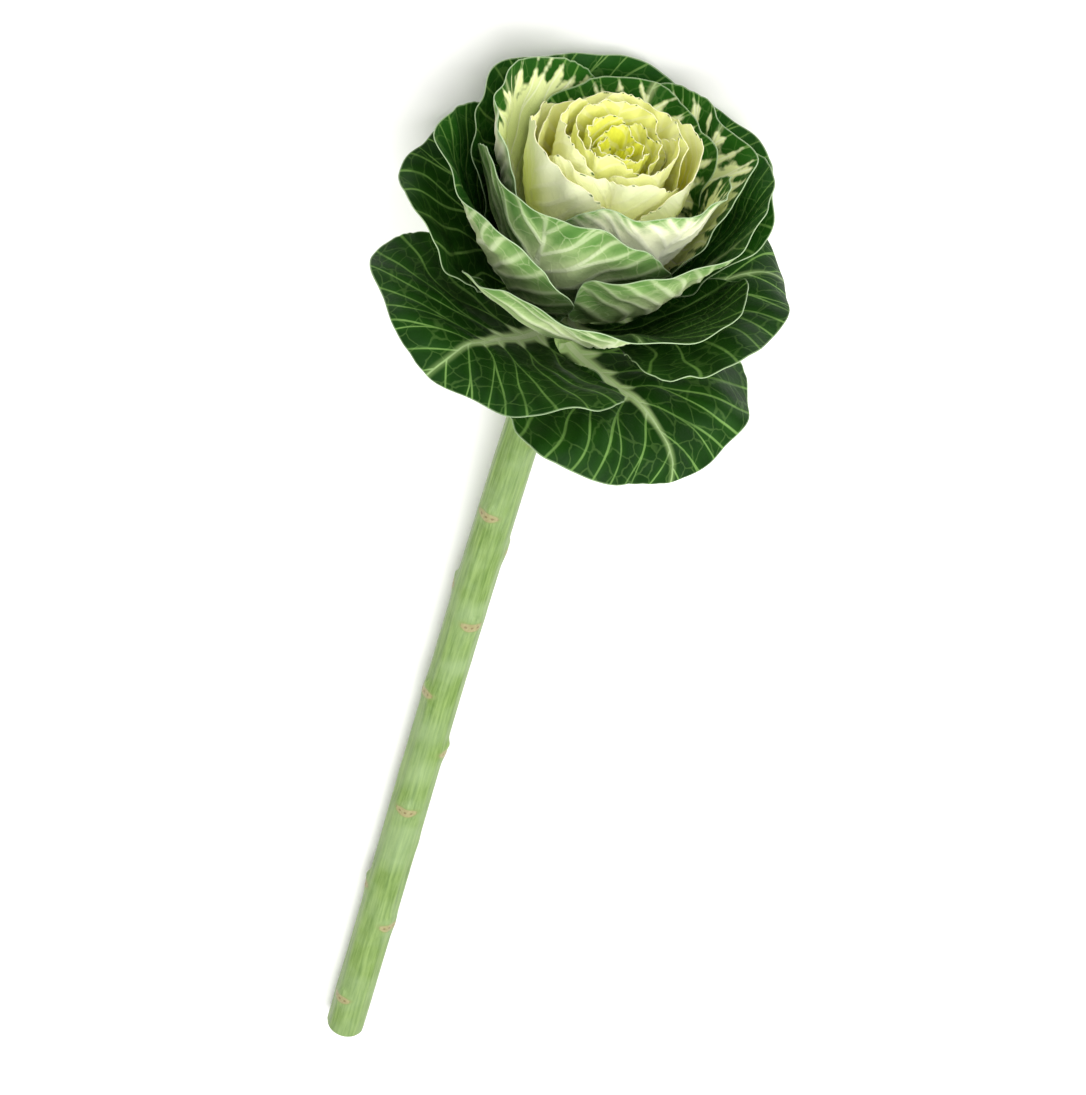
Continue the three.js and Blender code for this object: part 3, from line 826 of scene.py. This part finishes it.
def leaf_faces(kind, shape, side, reach):
    """A leaf's upper face, its thickness, and what its materials follow."""
    outline, lift, tooth_count = margin_detail(shape, side, reach, MARGINS[kind])
    middle, across, along = leaf_points(shape, side, reach, outline, lift)
    across, along = strayed_plan(across, along, shape["phase"])
    upward = unit(np.cross(np.gradient(middle, axis=1), np.gradient(middle, axis=0)))
    blade = HEART_BLADE if kind == "heart" else BLADE
    from_vein = vein_distance(across, along, LEAF_FACES[kind]["spacing"])
    vein = np.exp(-((from_vein / RIDGE_HALF_WIDTH) ** 2))
    quilt = QUILT * (0.5 - vein) * smoothstep(reach, *QUILT_START) * (1 - smoothstep(reach, *QUILT_END))
    face = middle + upward * (blade / 2 + quilt)[..., None]
    margin, tooth_at_margin = nearest_margin(face, tooth_count)
    rib = RIB_HEIGHT * np.maximum(1 - reach, 0) ** RIB_TAPER * np.exp(-((side / RIB_HALF_WIDTH) ** 2))
    thickness = mix(MARGIN_BLADE, FINE_BLADE * blade, smoothstep(margin, 0, BLADE_RISE)) + rib
    thickness = thickness + VEIN_RIDGE * vein * smoothstep(margin, *RIDGE_RISE)
    marks = {"across": across, "along": along, "margin": margin, "tooth_count": tooth_at_margin}
    return face, thickness, marks


def make_leaf(index):
    kind = kind_of(index)
    node = "heart" if kind == "heart" else f"{kind}_leaf_{index + 1:02d}"
    name = f"heart_leaf_{index + 1:02d}" if kind == "heart" else f"{node}_blade"
    leaf, order, flat_across, flat_up = start_grid(name, *FINENESS[kind])
    side = -flat_across
    reach = flat_up / 2 + 0.5
    face, thickness, marks = leaf_faces(kind, leaf_shape(index), side, reach)
    place_points(leaf, unsorted(order, from_head(face) * MM))
    marks["age"] = np.full_like(side, index / (LEAF_COUNT - 1))
    keep_attributes(leaf, order, marks)
    for material in LEAF_MATERIALS[kind]:
        leaf.data.materials.append(material)
    give_thickness(leaf, order, thickness)
    rest_on_table(leaf)
    bpy.ops.object.shade_smooth_by_angle(angle=LEAF_SMOOTHING)
    hand_in(leaf, node)


def make_core():
    """The growing point that the heart's leaves stand on."""
    core, order, flat_across, flat_up = start_grid("heart_core", CORE_SIDES, CORE_RINGS)
    height = mix(CORE_HEIGHTS[0], CORE_HEIGHTS[-1], np.sin(flat_up * math.pi / 2) / 2 + 0.5)
    radius = np.interp(height, CORE_HEIGHTS, CORE_RADII)
    turn = -flat_across * math.pi
    points = np.stack([radius * np.cos(turn), radius * np.sin(turn), height], -1)
    place_points(core, unsorted(order, from_head(points) * MM))
    whole = np.ones_like(height)
    marks = {"across": points[..., 0], "along": height, "age": whole, "margin": CORE_MARGIN * whole,
             "tooth_count": 0 * whole}
    keep_attributes(core, order, marks)
    weld(core)
    core.data.materials.append(LEAF_MATERIALS["heart"][0])
    bpy.ops.object.shade_smooth()
    hand_in(core, "heart")


# The stem

def stem_line():
    """Points of the stem's centre line from the cut end into the head, and their lengths from the cut."""
    axis = np.array([0, -math.cos(HEAD_TILT), math.sin(HEAD_TILT)])
    fall = HEAD_ROOT[2] - CUT_END_HEIGHT
    cut_end = HEAD_ROOT + np.array([0, math.sqrt(STEM_LENGTH**2 - fall**2), -fall])
    rise = np.array([0, -math.cos(CUT_END_SLOPE), math.sin(CUT_END_SLOPE)])
    after_cut = cut_end + STEM_LENGTH / 3 * rise
    before_head = HEAD_ROOT - STEM_LENGTH / 3 * axis
    t = np.linspace(0, 1, LINE_STEPS)[:, None]
    u = 1 - t
    curve = u**3 * cut_end + 3 * u * u * t * after_cut + 3 * u * t * t * before_head + t**3 * HEAD_ROOT
    curve = np.concatenate([curve, [HEAD_ROOT + STEM_TOP * axis]])
    steps = np.linalg.norm(np.diff(curve, axis=0), axis=1)
    return curve, np.concatenate([[0], np.cumsum(steps)])


def on_line(distance, curve, lengths):
    """Points of a line at distances from its start."""
    return np.stack([np.interp(distance, lengths, curve[:, axis]) for axis in range(3)], -1)


def nearest_scar(along, turn, radius):
    """Millimetres beside and above the nearest leaf scar, and its nearness, which is 1 in its middle."""
    best = np.zeros_like(along)
    aside_best = np.zeros_like(along)
    above_best = np.zeros_like(along)
    for scar in range(SCAR_COUNT):
        step = SCAR_FIRST + scar + SCAR_PLAY * draw(scar, SCAR_DRAW)
        place = STEM_LENGTH * step / (SCAR_COUNT - 1 + SCAR_FIRST + SCAR_LAST)
        facing = FIRST_LEAF_ANGLE - (SCAR_COUNT - scar) * GOLDEN_ANGLE
        aside = np.arctan2(np.sin(turn - facing), np.cos(turn - facing))
        above = along - place
        near = np.exp(-((aside / SCAR_HALF_ANGLE) ** 2) - (above / SCAR_LENGTH) ** 2)
        closer = near > best
        best = np.where(closer, near, best)
        aside_best = np.where(closer, aside * radius, aside_best)
        above_best = np.where(closer, above, above_best)
    return aside_best, above_best, best


def scar_tissue(tree, skin, marks, grain, tones):
    """Adds corky half-moon scars, each with three marks where the leaf's veins broke off."""
    aside, above = marks["scar_aside"], marks["scar_above"]
    droop = add(tree, "Math", aside, aside, operation="MULTIPLY")
    level = add(tree, "Math", droop, -SCAR_DROOP, above, operation="MULTIPLY_ADD")
    wide = add(tree, "Math", aside, SCAR_MARK_WIDTH, operation="DIVIDE")
    wide = add(tree, "Math", wide, wide, operation="MULTIPLY")
    tall = add(tree, "Math", level, SCAR_MARK_HEIGHT, operation="DIVIDE")
    spread = add(tree, "Math", tall, tall, wide, operation="MULTIPLY_ADD")
    far = add(tree, "MapRange", marks["scar_near"], *SCAR_END, 0.0, OFF_SCAR)
    spread = add(tree, "Math", spread, far, operation="ADD")
    ragged = add(tree, "Math", grain, SCAR_RAGGED, spread, operation="MULTIPLY_ADD")
    inside = add(tree, "MapRange", ragged, *SCAR_INSIDE, 0.0, CORK_SHARE, **SMOOTH)
    around = add(tree, "MapRange", ragged, *SCAR_AROUND, 0.0, SCAR_RIM_SHARE, **SMOOTH)
    skin = add(tree, "Mix", around, skin, tones["scar_rim"], data_type="RGBA")
    cork = add(tree, "Mix", grain, tones["dark_cork"], tones["pale_cork"], data_type="RGBA")
    skin = add(tree, "Mix", inside, skin, cork, data_type="RGBA")
    beside_mark = add(tree, "Math", aside, SCAR_MARK_WIDTH / 4, operation="PINGPONG")
    mark_across = add(tree, "Math", beside_mark, beside_mark, operation="MULTIPLY")
    mark = add(tree, "Math", level, level, mark_across, operation="MULTIPLY_ADD")
    broken = add(tree, "MapRange", mark, *SCAR_BREAK, 0.0, VEIN_END_SHARE, **SMOOTH)
    in_scar = add(tree, "Math", broken, inside, operation="MULTIPLY")
    return add(tree, "Mix", in_scar, skin, tones["vein_end"], data_type="RGBA")


def stem_material():
    """Kale stem: fibrous pale green skin, a thin grey bloom of wax, corky scars and a moist cut face."""
    material, tree = new_material("kale_stem_skin")
    tones = {name: colour(code) for name, code in STEM_TONES.items()}
    names = ("along", "across", "down", "scar_aside", "scar_above", "scar_near", "cut_depth")
    marks = {name: add(tree, "Attribute", attribute_name=name).outputs["Fac"] for name in names}
    place = add(tree, "CombineXYZ", marks["along"], marks["across"], marks["down"])
    stretched = add(tree, "VectorMath", place, (STREAK_SHARE, 1.0, 1.0), operation="MULTIPLY")
    streaks = add(tree, "TexNoise", sockets={
        "Vector": stretched, "Scale": 1 / STREAK_WIDTH, "Detail": 4.0, "Roughness": 0.6})
    clouds = add(tree, "TexNoise", sockets={"Vector": place, "Scale": 1 / BLOOM_SIZE, "Detail": 3.0})
    grain = add(tree, "TexNoise", sockets={"Vector": place, "Scale": 1 / CORK_GRAIN, "Detail": 3.0})
    fibre = add(tree, "MapRange", streaks, *STREAK_SPAN, 0.0, 1.0)
    skin = add(tree, "Mix", fibre, tones["fibre"], tones["skin"], data_type="RGBA")
    bloom = add(tree, "MapRange", clouds, *BLOOM_SPAN, 0.0, BLOOM_SHARE)
    skin = add(tree, "Mix", bloom, skin, tones["bloom"], data_type="RGBA")
    skin = scar_tissue(tree, skin, marks, grain, tones)

    # The cut face: green skin, a white woody ring and a moist pale green pith
    flesh = add(tree, "MapRange", marks["cut_depth"], *CUT_SKIN, 0.0, 1.0)
    wood = add(tree, "Mix", grain, tones["wood"], tones["pale_wood"], data_type="RGBA")
    ring = add(tree, "MapRange", marks["cut_depth"], *CUT_WOOD, 1.0, 0.0)
    face = add(tree, "Mix", ring, tones["pith"], wood, data_type="RGBA")
    skin = add(tree, "Mix", flesh, skin, face, data_type="RGBA")

    relief = add(tree, "Math", streaks, STREAK_RELIEF, grain, operation="MULTIPLY_ADD")
    bump = add(tree, "Bump", sockets={
        "Strength": STEM_BUMP, "Distance": STEM_RELIEF * MM, "Height": relief})
    gloss = add(tree, "MapRange", clouds, *STEM_GLOSS_SPAN, *STEM_GLOSS)
    shader = add(tree, "BsdfPrincipled", sockets={
        "Base Color": skin, "Roughness": gloss, "IOR": LEAF_IOR, "Normal": bump})
    add(tree, "OutputMaterial", shader)
    return material


def stem_surface(row, turn):
    """The stem's points from the middle of its cut face to its top, and what its material follows."""
    curve, lengths = stem_line()
    total = lengths[-1]
    stops = [0, CUT_ROWS, CUT_ROWS + BEVEL_ROWS, STEM_ROWS - TOP_ROWS, STEM_ROWS]
    along = np.interp(row, stops, [0, 0, 2 * CUT_BEVEL, total, total])
    share = np.interp(row, stops, [0, 1 - CUT_BEVEL / STEM_CUT_RADIUS, 1, 1, 0])
    plain = mix(STEM_CUT_RADIUS, STEM_NECK_RADIUS, np.minimum(along / STEM_LENGTH, 1))
    plain = mix(plain, STEM_TIP_RADIUS, np.maximum(0, along - STEM_LENGTH) / STEM_TOP)
    aside, above, near = nearest_scar(along, turn, plain)
    beside_bud = aside / BUD_HALF_WIDTH
    past_bud = (above - BUD_ABOVE) / BUD_HALF_LENGTH
    bud = BUD_HEIGHT * np.exp(-(beside_bud**2) - past_bud**2)
    ribs = shared_waves(turn, along, STEM_RIBS)
    radius = share * (plain + np.where(share == 1, SCAR_HEIGHT * near + bud + ribs, 0))
    on_cut = row <= CUT_ROWS
    centre = on_line(along + CUT_DISH * (1 - share) * on_cut, curve, lengths)
    ahead = unit(on_line(along + 1, curve, lengths) - on_line(along - 1, curve, lengths))
    side = np.array([1.0, 0, 0])
    across, down = radius * np.cos(turn), radius * np.sin(turn)
    points = centre + across[..., None] * side - down[..., None] * np.cross(ahead, side)
    cut_depth = np.where(on_cut, STEM_CUT_RADIUS * (1 - share) + SKIN_DEPTH, 0)
    marks = {"along": along, "across": across, "down": down, "scar_aside": aside, "scar_above": above,
             "scar_near": near, "cut_depth": cut_depth}
    return points, marks


def make_stem():
    stem, order, flat_across, flat_up = start_grid("stem_skin", STEM_SIDES, STEM_ROWS)
    points, marks = stem_surface((flat_up / 2 + 0.5) * STEM_ROWS, -flat_across * math.pi)
    place_points(stem, unsorted(order, points * MM))
    keep_attributes(stem, order, marks)
    weld(stem)
    rest_on_table(stem)
    bpy.ops.object.shade_smooth_by_angle(angle=STEM_SMOOTHING)
    stem.data.materials.append(stem_material())
    hand_in(stem, "stem")


# The studio, in metres

CAMERA_AZIMUTH = math.radians(14)
CAMERA_HEIGHT_ANGLE = math.radians(55)
CAMERA_DISTANCE = 1.1
CAMERA_LENS = 93.0
CAMERA_NEAR = 0.01
CAMERA_ROLL = math.radians(180)
CAMERA_AIM = Vector((-0.018, -0.046, 0.03))
LIGHT_AIM = Vector((0, -0.16, 0.04))
FLOOR_SIZE = 6.0
BOARD_UNEVENNESS = 1 / 3
BOARD_ROUGHNESS = 0.85
WORLD_LIGHT = 0.5


def make_camera():
    """Looks down on the plant as the photograph does, with the head's face towards the picture's top."""
    flat = math.cos(CAMERA_HEIGHT_ANGLE)
    back = Vector((math.sin(CAMERA_AZIMUTH), -math.cos(CAMERA_AZIMUTH), 0)) * flat
    away = back + Vector((0, 0, math.sin(CAMERA_HEIGHT_ANGLE)))
    camera = bpy.data.objects.new("camera", bpy.data.cameras.new("camera"))
    bpy.context.collection.objects.link(camera)
    camera.data.lens = CAMERA_LENS
    camera.data.clip_start = CAMERA_NEAR
    camera.location = CAMERA_AIM + away * CAMERA_DISTANCE
    camera.rotation_mode = "QUATERNION"
    camera.rotation_quaternion = (-away).to_track_quat("-Z", "Y") @ Quaternion((0, 0, 1), CAMERA_ROLL)
    bpy.context.scene.camera = camera


def floor_material():
    """Matt white studio board with a faint unevenness."""
    material, tree = new_material("white_studio_board")
    place = add(tree, "TexCoord").outputs["Object"]
    uneven = add(tree, "TexNoise", sockets={"Vector": place, "Scale": 1 / BOARD_UNEVENNESS, "Detail": 2.0})
    tone = add(tree, "Mix", uneven, colour("#F4F3F1"), colour("#F8F7F5"), data_type="RGBA")
    shader = add(tree, "BsdfPrincipled", sockets={"Base Color": tone, "Roughness": BOARD_ROUGHNESS})
    add(tree, "OutputMaterial", shader)
    return material


def make_floor():
    bpy.ops.object.select_all(action="DESELECT")
    bpy.ops.mesh.primitive_plane_add(size=FLOOR_SIZE)
    floor = bpy.context.object
    floor.name = "studio_floor"
    floor.data.materials.append(floor_material())


def make_light(name, place, size, power):
    """A square soft box that faces the head."""
    light = bpy.data.objects.new(name, bpy.data.lights.new(name, "AREA"))
    bpy.context.collection.objects.link(light)
    light.data.size = size
    light.data.energy = power
    light.location = place
    light.rotation_mode = "QUATERNION"
    light.rotation_quaternion = (LIGHT_AIM - light.location).to_track_quat("-Z", "Y")


def make_world(strength):
    world = bpy.data.worlds.new("studio")
    world.use_nodes = True
    background = world.node_tree.nodes["Background"]
    background.inputs["Color"].default_value = colour("#FFFFFF")
    background.inputs["Strength"].default_value = strength
    bpy.context.scene.world = world


make_camera()
make_floor()
make_light("soft_box_front", place=(-0.4, -0.85, 1.3), size=1.2, power=18.0)
make_light("soft_box_above", place=(-0.1, 0.3, 1.55), size=1.4, power=24.0)
make_world(WORLD_LIGHT)
bpy.context.scene.view_settings.view_transform = "Standard"

make_stem()
make_core()
for leaf_index in range(LEAF_COUNT):
    make_leaf(leaf_index)
